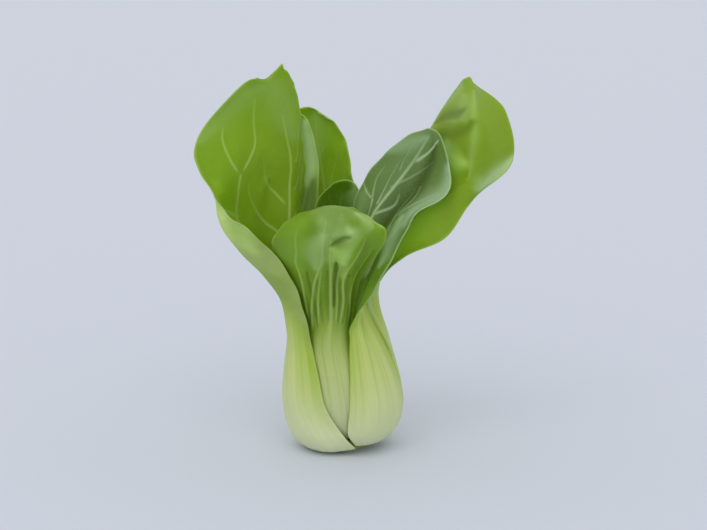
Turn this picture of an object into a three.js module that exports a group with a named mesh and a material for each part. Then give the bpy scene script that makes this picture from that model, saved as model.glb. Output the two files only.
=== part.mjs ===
// A head of green-stemmed bok choy, standing on its cut base. Millimetres, +Z up, the front is towards -Y.
// The origin is the centre of the flat cut under the stem.
// Each leaf is one solid: a thick crescent petiole that wraps the bulb, and a thin waved blade on a raised midrib.

import * as THREE from "three";

// Sampling of a leaf: steps from base to tip, and from one margin to the other.
const STEPS_ALONG = 34;
const STEPS_ACROSS = 12;

// Thickness of a leaf.
const MARGIN_THICKNESS = 1.0;
const BLADE_THICKNESS = 0.9;
const PETIOLE_THICKNESS = 5.4;
const MIDRIB_THICKNESS = 1.6;

// Half the width of the thick middle of a leaf, on the petiole and on the blade, as a share of half the leaf.
const CRESCENT_WIDTH = 1.05;
const MIDRIB_WIDTH = 0.2;

// Where a petiole turns into blade, as shares of the leaf before and after its neck, and over how much of the
// leaf a fold dies out.
const BLADE_STARTS = 0.12;
const BLADE_FULL = 0.16;
const FOLD_END = 0.15;

// The stem: a short stump with a flat cut, stepped in like a cone, with the leaves in tiers round it.
const STEM_PROFILE = [
  [12.0, 0],
  [12.6, 0.6],
  [12.2, 5.6],
  [9.0, 8.0],
  [8.8, 11.0],
  [5.6, 13.5],
  [5.2, 16.0],
  [3.0, 19.0],
];
const STEM_SIDES = 40;

// Outer face of a petiole from its foot to the neck of the head, for each tier of leaves: the radius round the
// head, the height, and how far the head's middle line has leaned along X at that height. The front leaf stands
// out between the outer and the middle ones.
const TIERS = {
  outer: [
    [15.4, 1.8, 0],
    [23.5, 3.9, 0],
    [29.5, 12.4, 0],
    [31.8, 27, 0],
    [29.8, 43, -1],
    [26.8, 58, -2.3],
  ],
  front: [
    [16.6, 8.3, 0],
    [21.1, 10.8, 0],
    [24.4, 17.7, 0],
    [26.1, 28.5, 0],
    [24.6, 43, -1],
    [21.6, 58, -2.3],
  ],
  middle: [
    [12.2, 9.0, 0],
    [17.4, 11.8, 0],
    [22.6, 18.5, 0],
    [25.0, 29, 0],
    [23.8, 43, -1],
    [21.0, 58, -2.3],
  ],
  inner: [
    [8.2, 14.2, 0],
    [12.2, 17.8, 0],
    [16.6, 24, 0],
    [18.8, 33, 0],
    [17.2, 45, -1],
    [14.2, 58, -2.3],
  ],
};

// The leaves. sides: the angles, in degrees round the head, of a petiole's two margins on each row of its tier.
// tuck: how far each of those margins turns in towards the middle. lift: how much higher the foot starts.
// corners: how much further each margin of the foot is turned up.
// blade: rows of points from the neck to the tip, each from one margin over the midrib to the other.
// A row has 3 points, or 5 where the blade is folded between its midrib and a margin.
// folds: long creases of the blade, each at a place across from -1 to 1. It stands out by its height, or sinks in
// where that is negative, fades out over its width on both sides, and ends at a place along the leaf. A crisp
// one has an edge along its top, the others are round.
const LEAVES = [
  {
    name: "leaf_left_outer",
    colour: 0x74a02c,
    tier: "outer",
    sides: [
      [122, 290],
      [122, 286],
      [125, 271],
      [128, 252],
      [135, 244],
      [146, 234],
    ],
    tuck: [3, 3.5],
    lift: -1.5,
    corners: [0, 2.3],
    blade: [
      [[-26, 7, 72], [-29, 2, 73], [-30, -5, 75], [-27, -14, 77], [-20, -20, 77]],
      [[-21, 14, 88], [-25, 7, 90], [-29, -2, 92], [-39, -14, 93], [-29, -24, 97]],
      [[-21, 17, 106], [-24, 10, 107], [-29, 1, 110], [-51.5, -14, 106], [-46, -28, 119]],
      [[-21, 18, 120], [-24, 12, 121], [-28, 4, 122], [-60, -15, 121], [-59, -27, 129]],
      [[-21, 18, 134], [-23, 13, 134], [-28, 7, 135], [-57, -15, 137], [-68, -24, 141]],
      [[-21, 17, 148], [-23, 13, 148], [-27, 9, 148], [-53, -8, 152], [-74, -15, 155]],
      [[-21, 15, 164], [-23, 13, 162], [-29, 10, 160], [-50, 0, 167], [-69, -4, 169]],
      [[-23, 14, 180], [-26, 13, 180], [-32, 11, 180], [-41, 7, 184], [-49, 4, 190]],
      [[-28, 13, 190], [-29.5, 12, 195], [-31, 12, 198], [-35, 11, 193], [-39, 9, 187.5]],
    ],
    folds: [{ across: 0.3, height: 2.5, width: 0.35, end: 0.85 }],
    wave: { height: 1.2, count: 5, phase: 0.4 },
  },
  {
    name: "leaf_right_front",
    colour: 0x6b9150,
    tier: "outer",
    sides: [
      [-70.5, -4],
      [-73.5, -5],
      [-84.5, -6],
      [-83, -8],
      [-80, -14],
      [-76, -26],
    ],
    tuck: [3.5, 0],
    lift: 2.9,
    blade: [
      [[5, -25, 69], [9, -17, 72], [14, -9, 72]],
      [[12, -28, 82], [9, -12, 85], [9, -3, 84]],
      [[21, -28, 98], [11, -7, 99], [5, 2, 99]],
      [[31, -27, 115], [13, -4, 113], [4, 6, 116]],
      [[38, -25, 127], [18, -2, 125], [7, 9, 131]],
      [[52, -19, 136], [26, 0, 137], [14, 11, 143]],
      [[54, -12, 148], [34, 2, 149], [24, 11, 153]],
      [[51, -5, 161], [41, 2, 159], [34, 9, 162]],
      [[48, -1, 165], [46, 1, 166], [43, 4, 166]],
    ],
    folds: [
      { across: 0, height: -1.5, width: 0.3, end: 1 },
      { across: -0.32, height: 2, width: 0.35, end: 1 },
    ],
    wave: { height: 0.9, count: 4, phase: 1.2 },
  },
  {
    name: "leaf_right_back",
    colour: 0x78a029,
    tier: "outer",
    sides: [
      [1, 56],
      [0, 56],
      [-1, 56],
      [-2, 56],
      [-7, 55],
      [-18, 53],
    ],
    tuck: [1.5, 3],
    lift: 1,
    blade: [
      [[13, -4, 76], [17, 1, 76], [19, 8, 74], [18, 15, 73], [14, 20, 73]],
      [[18, -4, 88], [19, 4, 86], [19, 13, 85], [19, 21, 85], [17, 28, 84]],
      [[30, -9, 101], [26, 1, 104], [24, 14, 106], [26, 26, 102], [28, 36, 99]],
      [[52, -12, 112], [42, -3, 123], [30, 14, 131], [37, 30, 125], [43, 44, 119]],
      [[66, -10, 132], [64, -9, 140], [41, 14, 154], [51, 32, 146], [59, 46, 137]],
      [[86, -2, 150], [67, -11, 157], [50, 14, 171], [60, 30, 163], [69, 42, 156]],
      [[82, 6, 174], [66, -5, 172], [56, 13, 181], [62, 25, 174], [67, 34, 171]],
      [[72, 11, 183], [65, 4, 182], [60, 12, 187], [62, 18, 182], [65, 24, 179]],
      [[65, 12, 189], [63, 10, 189], [62, 12, 190], [62, 14, 188], [61, 16, 186]],
    ],
    folds: [{ across: -0.5, height: -4, width: 0.45, end: 1.15, crisp: true }],
    wave: { height: 0.8, count: 4, phase: 2.1 },
  },
  {
    name: "leaf_front_centre",
    colour: 0x86a94c,
    tier: "front",
    sides: [
      [232, 298],
      [231, 302],
      [230, 302],
      [230, 300],
      [226, 298],
      [220, 294],
    ],
    tuck: [0.8, 1.2],
    lift: 0,
    blade: [
      [[-19, -13, 67], [-6, -19.5, 71], [5, -16, 68]],
      [[-23, -14, 80], [-6, -22.5, 84], [7, -18, 81]],
      [[-31, -17, 94], [-6, -28, 98], [10, -22, 93]],
      [[-36, -26, 111], [-6, -38, 113], [19, -29, 110]],
      [[-31, -31, 121], [-5, -43, 125], [22, -31, 120]],
      [[-22, -32, 129], [-5, -41, 132], [15, -31, 127]],
      [[-12, -34, 133], [-4, -36, 134], [5, -33, 132]],
    ],
    folds: [{ across: 0.6, height: 1.2, width: 0.3, end: 1 }],
    wave: { height: 0.8, count: 4, phase: 0 },
  },
  {
    name: "leaf_back_left",
    colour: 0x6f9a45,
    tier: "middle",
    sides: [
      [128, 204],
      [128, 204],
      [126, 200],
      [121, 194],
      [114, 182],
      [107, 170],
    ],
    tuck: [2, 2],
    lift: 0,
    blade: [
      [[-12, 16, 69], [-19, 15, 69], [-24, 10, 69]],
      [[-15, 17, 88], [-23, 21, 88], [-31, 19, 88]],
      [[-14, 19, 111], [-26, 25, 111], [-40, 22, 110]],
      [[-13, 21, 131], [-28, 28, 131], [-47, 27, 128]],
      [[-13, 22, 149], [-28, 29, 151], [-46, 30, 146]],
      [[-16, 23, 164], [-28, 28, 165], [-39, 30, 160]],
      [[-20, 24, 170], [-25, 26, 171], [-31, 27, 167]],
    ],
    wave: { height: 0.9, count: 4, phase: 1.7 },
  },
  {
    name: "leaf_back",
    colour: 0x5f8c1c,
    tier: "outer",
    sides: [
      [62, 116],
      [62, 117],
      [62, 119],
      [62, 121],
      [61, 123],
      [60, 124],
    ],
    tuck: [3, 3],
    lift: 1,
    blade: [
      [[11, 19, 71], [-2, 26, 71], [-16, 23, 70]],
      [[13, 24, 93], [-4, 31, 93], [-22, 29, 91]],
      [[11, 30, 114], [-8, 38, 115], [-28, 36, 110]],
      [[6, 36, 135], [-11, 45, 137], [-32, 43, 132]],
      [[2, 40, 152], [-14, 48, 155], [-31, 48, 150]],
      [[-5, 43, 165], [-15, 48, 167], [-26, 48, 164]],
      [[-13, 45, 170], [-18, 47, 172], [-23, 47, 171]],
    ],
    wave: { height: 1.0, count: 5, phase: 0.9 },
  },
  {
    name: "leaf_centre",
    colour: 0x476f1c,
    tier: "middle",
    sides: [
      [22, 108],
      [22, 108],
      [22, 108],
      [22, 108],
      [24, 102],
      [26, 95],
    ],
    tuck: [2, 2],
    lift: 0,
    blade: [
      [[3, 4, 70], [-3, 8, 69], [-10, 6, 70]],
      [[8, 12, 91], [-3, 16, 91], [-13, 13, 91]],
      [[12, 14, 111], [-2, 19, 112], [-16, 16, 110]],
      [[12, 13, 126], [-1, 18, 128], [-14, 17, 126]],
      [[7, 14, 136], [2, 16, 138], [-5, 17, 136]],
    ],
    wave: { height: 0.5, count: 3, phase: 0.5 },
  },
  {
    name: "leaf_heart_left",
    colour: 0x6f9a33,
    tier: "inner",
    sides: [
      [150, 250],
      [150, 250],
      [150, 250],
      [150, 250],
      [150, 250],
      [150, 250],
    ],
    tuck: [1, 1],
    lift: 0,
    blade: [
      [[-13, 2, 72], [-13, -5, 72], [-7, -9, 72]],
      [[-14, 5, 86], [-16, -5, 87], [-9, -11, 86]],
      [[-13, 5, 98], [-16, -5, 100], [-10, -11, 98]],
      [[-11, 2, 106], [-13, -4, 108], [-10, -8, 106]],
    ],
    wave: { height: 0.3, count: 2, phase: 0.5 },
  },
  {
    name: "leaf_heart_right",
    colour: 0x7da53c,
    tier: "inner",
    sides: [
      [-70, 60],
      [-70, 60],
      [-70, 60],
      [-70, 60],
      [-70, 60],
      [-70, 60],
    ],
    tuck: [1, 1],
    lift: 0,
    blade: [
      [[-1, -8, 70], [3, -4, 70], [2, 1, 70]],
      [[-4, -9, 84], [1, -5, 84], [-1, 3, 84]],
      [[-6, -7, 93], [-3, -3, 94], [-5, 2, 93]],
    ],
    wave: { height: 0.3, count: 2, phase: 1.5 },
  },
];

const group = new THREE.Group();

// A point at an angle in degrees round the head.
function around(angle, radius, height) {
  const turn = THREE.MathUtils.degToRad(angle);
  return new THREE.Vector3(radius * Math.cos(turn), radius * Math.sin(turn), height);
}

// The point of a smooth curve through the points of a list, at place 0 to 1 along it (uniform Catmull-Rom).
function smoothPoint(points, place) {
  const last = points.length - 1;
  const scaled = Math.min(place, 1) * last;
  const i = Math.min(Math.floor(scaled), last - 1);
  const t = scaled - i;
  const here = points[i];
  const next = points[i + 1];
  const before = i > 0 ? points[i - 1] : here.clone().multiplyScalar(2).sub(next);
  const after = i + 2 <= last ? points[i + 2] : next.clone().multiplyScalar(2).sub(here);
  const mix = (a, b, c, d) =>
    0.5 * (2 * b + (c - a) * t + (2 * a - 5 * b + 4 * c - d) * t * t + (3 * b - a - 3 * c + d) * t ** 3);
  return new THREE.Vector3(
    mix(before.x, here.x, next.x, after.x),
    mix(before.y, here.y, next.y, after.y),
    mix(before.z, here.z, next.z, after.z),
  );
}

// A row of 5 points. One of 3 points gets the two between them from the parabola through all three.
function fullRow(row) {
  if (row.length === 5) return row;
  const [left, mid, right] = row;
  const between = (side, far) =>
    side
      .clone()
      .multiplyScalar(3)
      .addScaledVector(mid, 6)
      .sub(far)
      .divideScalar(8);
  return [left, between(left, right), mid, between(right, left), right];
}

// All the rows of a leaf, from the foot of its petiole to the tip of its blade.
function leafRows(leaf) {
  const petiole = TIERS[leaf.tier].map(([radius, height, lean], i) => {
    const [from, to] = leaf.sides[i];
    const foot = leaf.lift * Math.max(0, 1 - i / 3);
    const corners = leaf.corners ?? [0, 0];
    const free = Math.min(1, i / 2);
    return [0, 0.25, 0.5, 0.75, 1].map((share) => {
      const tuck = share < 0.5 ? leaf.tuck[0] : leaf.tuck[1];
      const outwards = Math.abs(2 * share - 1) ** 3;
      const corner = (share < 0.5 ? corners[0] : corners[1]) * (1 - free) * outwards;
      const turnedIn = radius - tuck * free * outwards;
      const point = around(from + (to - from) * share, turnedIn, height + foot + corner);
      point.x += lean;
      return point;
    });
  });
  const blade = leaf.blade.map((row) => fullRow(row.map((point) => new THREE.Vector3(...point))));
  return [...petiole, ...blade];
}

// How far along the leaf, 0 to 1, the petiole has turned into blade.
function bladeShare(leaf, along) {
  const rows = TIERS[leaf.tier].length + leaf.blade.length;
  const neck = (TIERS[leaf.tier].length - 1) / (rows - 1);
  return THREE.MathUtils.smoothstep(along, neck - BLADE_STARTS, neck + BLADE_FULL);
}

// How far the blade stands out of its smooth sheet, in its folds and in the waves that grow towards its margins.
function relief(leaf, along, across) {
  const { height, count, phase } = leaf.wave;
  const swing = height * Math.abs(across) ** 3 * Math.sin(2 * Math.PI * count * along + phase + across);
  const folded = (leaf.folds ?? []).map((fold) => {
    const away = Math.min(1, Math.abs(across - fold.across) / fold.width);
    const open = 1 - THREE.MathUtils.smoothstep(along, fold.end - FOLD_END, fold.end);
    const profile = fold.crisp ? (1 - away) ** 1.5 : (1 - away ** 2) ** 2;
    return fold.height * open * profile;
  });
  return bladeShare(leaf, along) * folded.reduce((sum, value) => sum + value, swing);
}

// Thickness: a crescent on the petiole, thick in its middle, that narrows to a midrib on the thin blade.
function thickness(leaf, along, across) {
  const blade = bladeShare(leaf, along);
  const ribWidth = THREE.MathUtils.lerp(CRESCENT_WIDTH, MIDRIB_WIDTH, blade);
  const rib = Math.max(0, 1 - (across / ribWidth) ** 2);
  const midrib = MIDRIB_THICKNESS * (1 - along);
  const full = THREE.MathUtils.lerp(PETIOLE_THICKNESS - MARGIN_THICKNESS, midrib, blade);
  return THREE.MathUtils.lerp(MARGIN_THICKNESS, BLADE_THICKNESS, blade) + full * rib;
}

// The leaf as a closed solid: the sheet through its rows is its outer face, the inner face lies its thickness
// further in, and a rim joins the two.
function leafGeometry(leaf) {
  const rows = leafRows(leaf);
  const columns = [0, 1, 2, 3, 4].map((i) => rows.map((row) => row[i]));
  const sheet = (along, across) =>
    smoothPoint(columns.map((column) => smoothPoint(column, along)), (across + 1) / 2);
  const small = 1e-3;
  const positions = { outer: [], inner: [] };
  for (let i = 0; i <= STEPS_ALONG; i++) {
    const along = i / STEPS_ALONG;
    for (let j = 0; j <= STEPS_ACROSS; j++) {
      const across = (2 * j) / STEPS_ACROSS - 1;
      const point = sheet(along, across);
      const up = sheet(Math.min(along + small, 1), across).sub(sheet(Math.max(along - small, 0), across));
      const side = sheet(along, Math.min(across + small, 1)).sub(sheet(along, Math.max(across - small, -1)));
      const normal = side.cross(up).normalize();
      const raised = relief(leaf, along, across);
      positions.outer.push(point.clone().addScaledVector(normal, raised));
      positions.inner.push(point.clone().addScaledVector(normal, raised - thickness(leaf, along, across)));
    }
  }
  const width = STEPS_ACROSS + 1;
  const offset = positions.outer.length;
  const outer = (i, j) => i * width + j;
  const inner = (i, j) => offset + i * width + j;
  const faces = [];
  for (let i = 0; i < STEPS_ALONG; i++) {
    for (let j = 0; j < STEPS_ACROSS; j++) {
      const [a, b, c, d] = [outer(i, j), outer(i, j + 1), outer(i + 1, j + 1), outer(i + 1, j)];
      faces.push(a, b, c, a, c, d);
      const [e, f, g, h] = [inner(i, j), inner(i, j + 1), inner(i + 1, j + 1), inner(i + 1, j)];
      faces.push(e, g, f, e, h, g);
    }
  }
  const rim = (a, b, c, d) => faces.push(a, b, c, a, c, d);
  for (let j = 0; j < STEPS_ACROSS; j++) {
    rim(inner(0, j), inner(0, j + 1), outer(0, j + 1), outer(0, j));
    rim(outer(STEPS_ALONG, j), outer(STEPS_ALONG, j + 1), inner(STEPS_ALONG, j + 1), inner(STEPS_ALONG, j));
  }
  for (let i = 0; i < STEPS_ALONG; i++) {
    const last = STEPS_ACROSS;
    rim(outer(i, 0), outer(i + 1, 0), inner(i + 1, 0), inner(i, 0));
    rim(inner(i, last), inner(i + 1, last), outer(i + 1, last), outer(i, last));
  }
  const geometry = new THREE.BufferGeometry().setFromPoints([...positions.outer, ...positions.inner]);
  geometry.setIndex(faces);
  return geometry;
}

function addMesh(name, geometry, colour, roughness) {
  geometry.computeVertexNormals();
  const finish = { color: colour, roughness, metalness: 0, flatShading: true };
  const material = new THREE.MeshStandardMaterial(finish);
  const mesh = new THREE.Mesh(geometry, material);
  mesh.name = name;
  group.add(mesh);
}

// The stump, turned round the Z axis and closed on the axis at both ends.
function stemGeometry() {
  const top = STEM_PROFILE.at(-1)[1];
  const profile = [[0, 0], ...STEM_PROFILE, [0, top + 0.6]];
  const lathe = new THREE.LatheGeometry(
    profile.map(([radius, height]) => new THREE.Vector2(radius, height)),
    STEM_SIDES,
  );
  return lathe.rotateX(Math.PI / 2);
}

addMesh("stem_base", stemGeometry(), 0xdfe3c0, 0.7);
for (const leaf of LEAVES) addMesh(leaf.name, leafGeometry(leaf), leaf.colour, 0.45);

export default group;
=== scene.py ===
import math

import bpy
import numpy as np
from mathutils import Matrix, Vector


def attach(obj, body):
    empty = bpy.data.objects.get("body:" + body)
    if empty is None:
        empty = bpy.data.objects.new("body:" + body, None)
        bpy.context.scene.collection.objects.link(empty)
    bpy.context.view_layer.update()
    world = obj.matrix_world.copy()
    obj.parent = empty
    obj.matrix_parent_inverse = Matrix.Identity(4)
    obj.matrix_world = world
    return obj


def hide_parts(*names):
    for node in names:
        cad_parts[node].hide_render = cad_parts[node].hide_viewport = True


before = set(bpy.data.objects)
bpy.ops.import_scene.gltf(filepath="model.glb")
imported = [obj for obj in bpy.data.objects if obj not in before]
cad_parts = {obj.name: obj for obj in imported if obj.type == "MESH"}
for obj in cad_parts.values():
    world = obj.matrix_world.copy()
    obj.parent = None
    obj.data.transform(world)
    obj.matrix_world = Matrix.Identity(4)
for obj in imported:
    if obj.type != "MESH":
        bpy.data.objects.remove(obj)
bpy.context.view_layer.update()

# A head of green-stemmed bok choy. Shapes are worked out in millimetres, in the frame's axes, and stored
# in metres.
millimetre = 0.001


# Smooth sheets

def smoothStep(low, high, value):
    # 0 below low, 1 above high, and 3t^2 - 2t^3 between them
    t = np.clip((value - low) / (high - low), 0, 1)
    return t * t * (3 - 2 * t)


def smoothCurve(points, place):
    # uniform Catmull-Rom: a cubic through each pair of neighbours, leaning along the points on either side
    last = len(points) - 1
    longer = np.concatenate([[2 * points[0] - points[1]], points, [2 * points[-1] - points[-2]]])
    scaled = np.clip(place, 0, 1) * last
    i = np.minimum(scaled.astype(int), last - 1)
    t = (scaled - i).reshape((-1,) + (1,) * (points.ndim - 1))
    a, b, c, d = (longer[i + k] for k in range(4))
    return 0.5 * (2 * b + (c - a) * t + (2 * a - 5 * b + 4 * c - d) * t**2 + (3 * b - a - 3 * c + d) * t**3)


def smoothSheet(rows, along, across):
    # the smooth curve down each of the five columns, then the smooth curve across the five points it gives
    lengthwise = smoothCurve(rows, along)
    crosswise = smoothCurve(lengthwise.swapaxes(0, 1), (across + 1) / 2)
    return crosswise.swapaxes(0, 1)


def sheetNormals(points):
    # the cross product of the two neighbour-to-neighbour steps, made one long
    normals = np.cross(np.gradient(points, axis=1), np.gradient(points, axis=0))
    return normals / np.maximum(np.linalg.norm(normals, axis=2, keepdims=True), 1e-9)


def onGrid(grid, along, across):
    # bilinear reading of a grid at places given as along 0 to 1 and across -1 to 1
    high, wide = grid.shape[0] - 1, grid.shape[1] - 1
    i = np.clip(np.asarray(along) * high, 0, high - 1e-6)
    j = np.clip((np.asarray(across) + 1) / 2 * wide, 0, wide - 1e-6)
    i0, j0 = i.astype(int), j.astype(int)
    s, t = (i - i0)[:, None], (j - j0)[:, None]
    upper = grid[i0, j0] * (1 - t) + grid[i0, j0 + 1] * t
    lower = grid[i0 + 1, j0] * (1 - t) + grid[i0 + 1, j0 + 1] * t
    return upper * (1 - s) + lower * s


# The petioles

# outer face of a petiole, foot to neck, for each tier: radius round the head, height, shift along X
tiers = {
    "outer": [(15.4, 1.8, 0), (23.5, 3.9, 0), (29.5, 12.4, 0),
              (31.8, 27, 0), (29.8, 43, -1), (26.8, 58, -2.3)],
    "middle": [(12.2, 9.0, 0), (17.4, 11.8, 0), (22.6, 18.5, 0),
               (25.0, 29, 0), (23.8, 43, -1), (21.0, 58, -2.3)],
    "front": [(16.6, 8.3, 0), (21.1, 10.8, 0), (24.4, 17.7, 0),
              (26.1, 28.5, 0), (24.6, 43, -1), (21.6, 58, -2.3)],
    "inner": [(8.2, 14.2, 0), (12.2, 17.8, 0), (16.6, 24, 0),
              (18.8, 33, 0), (17.2, 45, -1), (14.2, 58, -2.3)],
}

leafBuild = {
    "tuckRows": 2,  # rows of the petiole over which its margins turn in
    "liftRows": 3,  # rows over which the lift of its foot fades out
    "cornerRows": 2,
    "petioleThickness": 5.4,
    "midribThickness": 1.6,
    "bladeThickness": 0.75,
    "bladeSteps": 0.68,  # share of the steps along a leaf that its blade gets
    "belowNeck": 0.1,  # how far under the neck the closer steps begin
    "neckBlend": (0.12, 0.16),  # under and over the neck, where the petiole turns into blade
    "marginThickness": 0.9,
    "roundedMargin": 0.03,  # share of the half width over which a margin thins
    "tipRounding": 3,  # how many times narrower that rounding is at the tip
    "thinnest": 0.04,
    "thickReach": (1.05, 0.2),  # how far from the midrib a petiole and a blade are thickened
    "ribHeight": 0.08,  # long ribs down the outside of a petiole
    "ribs": ((9.5, 0.6), (17, 0.4)),  # number and share of the height of each set of ribs
    "ripple": (3.3, 0.35),  # number and height of the small waves of a margin, against its large ones
    "foldFade": 0.15,
    "creaseInset": 3,  # a crease has its full height this far from a margin
    "creaseEnds": 0.35,  # share of its reach that a crease keeps at its two ends
    "creaseSteps": 4,  # points worked out for each point given of a crease, and of a vein
    "veinSteps": 5,
    "midribUnder": 0.05,  # how far under the neck the midrib starts
    "midribPoints": 14,
    "midribTaper": 0.2,
    "greenSag": 0.08,  # how much lower the green comes down at the margins
    "veinRaise": 0.34,  # height of a vein on the outer face, for each millimetre of its width
    "innerVein": 0.3,  # share of that height on the inner face
    "veinFall": 1.6,
    "veinFadeIn": 0.12,  # share of a vein over which it fades in at its start
    "fullVein": 0.8,  # width from which a vein has its full colour
    "faintest": 0.3,
    "puff": 0.5,  # how far the blade swells inwards between its veins
    "puffReach": 6.0,
    "rimFrom": (0.12, 0.25),  # over the neck, where the pale line along a margin fades in
    "rimWidth": 0.75,
}


def leafRows(leaf):
    # petiole rows lie on circles round the head, blade rows are points, five of each across the leaf
    rows = []
    for i, (radius, height, lean) in enumerate(tiers[leaf["tier"]]):
        start, end = leaf["sides"][i]
        share = np.linspace(0, 1, 5)
        tuck = np.where(share < 0.5, leaf["tuck"][0], leaf["tuck"][1]) * min(1, i / leafBuild["tuckRows"])
        outwards = np.abs(2 * share - 1) ** 3
        turnedIn = radius - tuck * outwards
        angle = np.radians(start + (end - start) * share)
        corner = np.where(share < 0.5, *leaf.get("corners", (0, 0))) * outwards
        corner = corner * max(0, 1 - i / leafBuild["cornerRows"])
        level = height + leaf["lift"] * max(0, 1 - i / leafBuild["liftRows"]) + corner
        rows.append(np.stack([turnedIn * np.cos(angle) + lean, turnedIn * np.sin(angle), level], axis=1))
    for row in leaf["blade"]:
        row = np.array(row, float)
        if len(row) == 3:  # the two points between lie on the parabola through the three
            left, mid, right = row
            nearLeft = (3 * left + 6 * mid - right) / 8
            nearRight = (3 * right + 6 * mid - left) / 8
            row = np.array([left, nearLeft, mid, nearRight, right])
        rows.append(row)
    return np.array(rows)


def leafNeck(leaf):
    # how far along the leaf its petiole ends
    return (len(tiers[leaf["tier"]]) - 1) / (len(tiers[leaf["tier"]]) + len(leaf["blade"]) - 1)


def rowSpacing(leaf):
    # shares of the grid's rows, and how far along the leaf they come: the blade has the closer rows
    return [0, 1 - leafBuild["bladeSteps"], 1], [0, leafNeck(leaf) - leafBuild["belowNeck"], 1]


def gridShare(leaf, along):
    # where along falls in the grid, as a share of its rows
    shares, places = rowSpacing(leaf)
    return np.interp(along, places, shares)


# The veins

sideVein = {
    "first": 0.35,  # where the first pair leaves the midrib, in steps between pairs
    "stagger": 0.15,  # how far each of a pair is from their middle, in the same steps
    "aboveNeck": 0.02,
    "span": 0.72,  # share of the blade that the pairs leave the midrib in
    "shrink": 0.45,  # how much shorter and thinner the last pair is
    "bend": 1.25,  # the power that curves a vein towards the tip
    "points": 9,
    "length": 0.95,
    "reach": 0.97,
    "highest": 0.985,
    "taper": 0.25,
    "forkAt": 4,  # the point of a vein that its fork leaves from
    "forkRise": (0.75, 0.02),
    "forkSpread": 0.55,
    "forkWidth": 0.55,
    "forkTaper": 0.3,
}


def sideVeins(leaf):
    # pairs of veins leave the midrib at even steps, curve towards the tip, and fork once on the way out
    neck = leafNeck(leaf)
    veins = []
    for side in leaf.get("veinSides", (-1, 1)):
        for k in range(leaf["veinPairs"]):
            share = (k + sideVein["first"] + sideVein["stagger"] * side) / leaf["veinPairs"]
            start = neck + sideVein["aboveNeck"] + share * sideVein["span"] * (1 - neck)
            rise = leaf["veinRise"] * (1 - sideVein["shrink"] * share) * (1 - neck)
            places = np.linspace(0, sideVein["length"], sideVein["points"])
            along = start + rise * places ** sideVein["bend"]
            across = side * places * sideVein["reach"]
            width = leaf["veinWidth"] * (1 - sideVein["shrink"] * share)
            veins.append((np.minimum(along, sideVein["highest"]), across, width, sideVein["taper"]))
            fork = np.array([0, 0.25, 0.5])
            steep, extra = sideVein["forkRise"]
            forkAlong = along[sideVein["forkAt"]] + (rise * steep + extra) * fork
            forkAcross = across[sideVein["forkAt"]] + side * sideVein["forkSpread"] * fork
            width = leaf["veinWidth"] * sideVein["forkWidth"]
            forkAlong = np.minimum(forkAlong, sideVein["highest"])
            veins.append((forkAlong, forkAcross, width, sideVein["forkTaper"]))
    return veins


def drawnVeins(leaf):
    # a listed vein is a smooth curve through its (along, across) points
    veins = []
    for points, width, taper in leaf.get("veins", []):
        curve = smoothCurve(np.array(points, float), np.linspace(0, 1, leafBuild["veinSteps"] * len(points)))
        veins.append((curve[:, 0], curve[:, 1], width, taper))
    return veins


def nearPath(path, points):
    # the distance from each point to a path, and how far along the path, 0 to 1, its nearest place is
    distance = np.full(len(points), 1e3)
    place = np.zeros(len(points))
    for i in range(len(path) - 1):
        step = path[i + 1] - path[i]
        t = np.clip((points - path[i]) @ step / max(step @ step, 1e-9), 0, 1)
        away = np.linalg.norm(points - path[i] - t[:, None] * step, axis=1)
        closer = away < distance
        distance = np.where(closer, away, distance)
        place = np.where(closer, (i + t) / (len(path) - 1), place)
    return distance, place


def veinMarks(leaf, points):
    # for each point: nearness to a vein, the ridge it stands on, and the distance to the nearest vein
    neck = leafNeck(leaf)
    steps = np.linspace(neck - leafBuild["midribUnder"], leaf["midribEnd"], leafBuild["midribPoints"])
    drift = np.interp(steps, *leaf.get("midribDrift", ([0, 1], [0, 0])))
    midrib = (steps, drift, leaf["midribWidth"], leafBuild["midribTaper"])
    veins = [midrib] + drawnVeins(leaf) + sideVeins(leaf)
    flat = points.reshape(-1, 3)
    line = np.zeros(len(flat))
    ridge = np.zeros(len(flat))
    distance = np.full(len(flat), 1e3)
    for along, across, width, taper in veins:
        away, place = nearPath(onGrid(points, gridShare(leaf, along), across), flat)
        wide = width * (1 - (1 - taper) * place)
        near = np.exp(-((away / np.maximum(wide, 1.0)) ** 2) * leafBuild["veinFall"])
        near *= np.clip(place / leafBuild["veinFadeIn"], 0, 1)
        line = np.maximum(line, near * np.clip(wide / leafBuild["fullVein"], leafBuild["faintest"], 1))
        ridge = np.maximum(ridge, near * wide)
        distance = np.minimum(distance, away)
    shape = points.shape[:2]
    return line.reshape(shape), ridge.reshape(shape), distance.reshape(shape)


def creaseMarks(leaf, points):
    # a crease is a soft line through its (along, across) points; its reach narrows towards both ends, and
    # it fades as exp(-(distance / reach)^2); it stands out by its height, carries painted light where it is
    # lighter and painted shade where it is darker, and is greyer by waxy bloom with painted sheen
    flat = points.reshape(-1, 3)
    marks = np.zeros((3, len(flat)))
    ends = leafBuild["creaseEnds"]
    for route, reach, height, tone, bloom in leaf.get("creases", []):
        places = np.linspace(0, 1, leafBuild["creaseSteps"] * len(route))
        curve = smoothCurve(np.array(route, float), places)
        away, place = nearPath(onGrid(points, gridShare(leaf, curve[:, 0]), curve[:, 1]), flat)
        narrowed = ends + (1 - ends) * np.sin(np.pi * place)
        soft = np.exp(-((away / reach / narrowed) ** 2))
        marks += np.array([height, tone, bloom])[:, None] * soft
    return marks.reshape(3, *points.shape[:2])


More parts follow.
